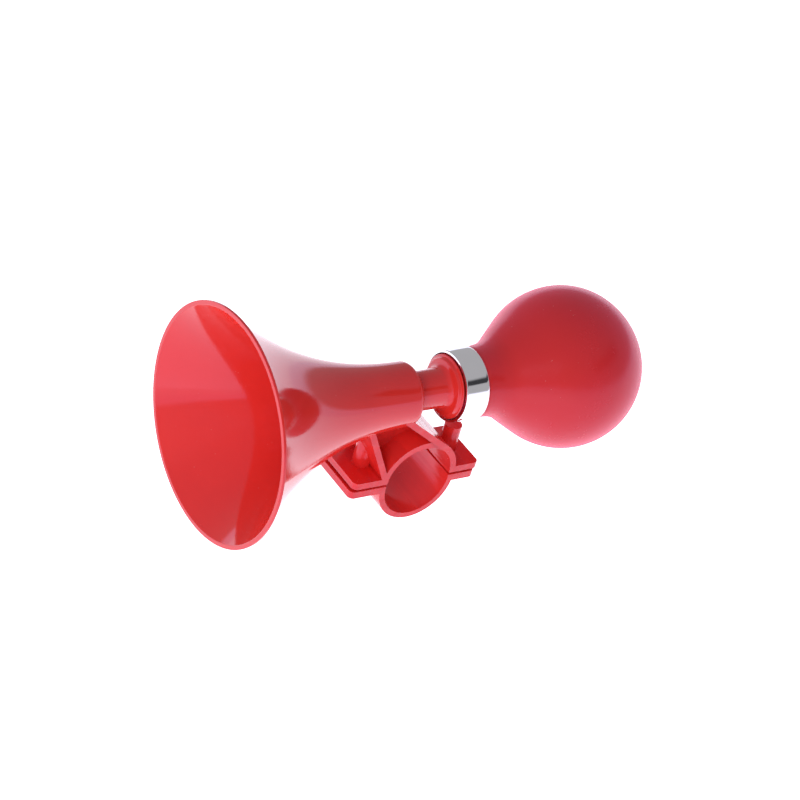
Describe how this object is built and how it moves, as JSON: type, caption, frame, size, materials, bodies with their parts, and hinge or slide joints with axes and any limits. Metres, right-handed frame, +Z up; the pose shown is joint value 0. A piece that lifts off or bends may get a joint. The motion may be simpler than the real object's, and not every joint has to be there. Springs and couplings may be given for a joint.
{
  "type": "bicycle bulb horn",
  "caption": "Child's bicycle horn: flared bell on a stem, rubber squeeze bulb held by a chrome ring, and a two-part screw clamp for a handlebar.",
  "frame": {"origin": "centre of the handlebar bore, midway along the clamp", "axes": "+X along the horn from the mouth to the bulb, +Y along the handlebar, +Z up from the handlebar to the horn"},
  "size_m": [0.1483, 0.072, 0.0774],
  "materials": {
    "red_plastic": "glossy injection-moulded red plastic",
    "red_rubber": "satin red soft rubber",
    "chrome": "bright polished chrome plating",
    "zinc_steel": "bright zinc-plated steel",
    "brass": "plain rolled brass",
    "reed_plastic": "plain ivory moulded plastic"
  },
  "bodies": {
    "horn": {"bell": "red_plastic", "clamp_saddle": "red_plastic", "stem": "red_plastic", "ferrule": "chrome", "reed_block": "reed_plastic", "reed_clip": "brass"},
    "bulb": {"bulb": "red_rubber"},
    "reed": {"reed_tongue": "brass"},
    "strap": {"clamp_strap": "red_plastic"},
    "mouth_side_screw": {"mouth_side_screw": "zinc_steel"},
    "bulb_side_screw": {"bulb_side_screw": "zinc_steel"}
  },
  "joints": [
    {"name": "bulb_squeeze", "type": "slide", "parent": "horn", "child": "bulb", "axis": [-1, 0, 0], "range_m": [0, 0.012], "stiffness_N_per_m": 900, "deforming": ["bulb"]},
    {"name": "reed_flex", "type": "hinge", "parent": "horn", "child": "reed", "pos_m": [0.0242, 0, 0.0284], "axis": [0, 1, 0], "range_deg": [-4, 2], "stiffness_Nm_per_rad": 0.01},
    {"name": "strap_travel", "type": "slide", "parent": "horn", "child": "strap", "axis": [0, 0, -1], "range_m": [0, 0.007]},
    {"name": "mouth_side_screw_turn", "type": "hinge", "parent": "strap", "child": "mouth_side_screw", "pos_m": [-0.0158, 0, 0], "axis": [0, 0, -1], "range_deg": [0, 2290]},
    {"name": "bulb_side_screw_turn", "type": "hinge", "parent": "strap", "child": "bulb_side_screw", "pos_m": [0.0158, 0, 0], "axis": [0, 0, -1], "range_deg": [0, 2290]}
  ],
  "couplings": [
    {"joint": "mouth_side_screw_turn", "follows": "strap_travel", "rad_per_m": 5712},
    {"joint": "bulb_side_screw_turn", "follows": "strap_travel", "rad_per_m": 5712}
  ]
}
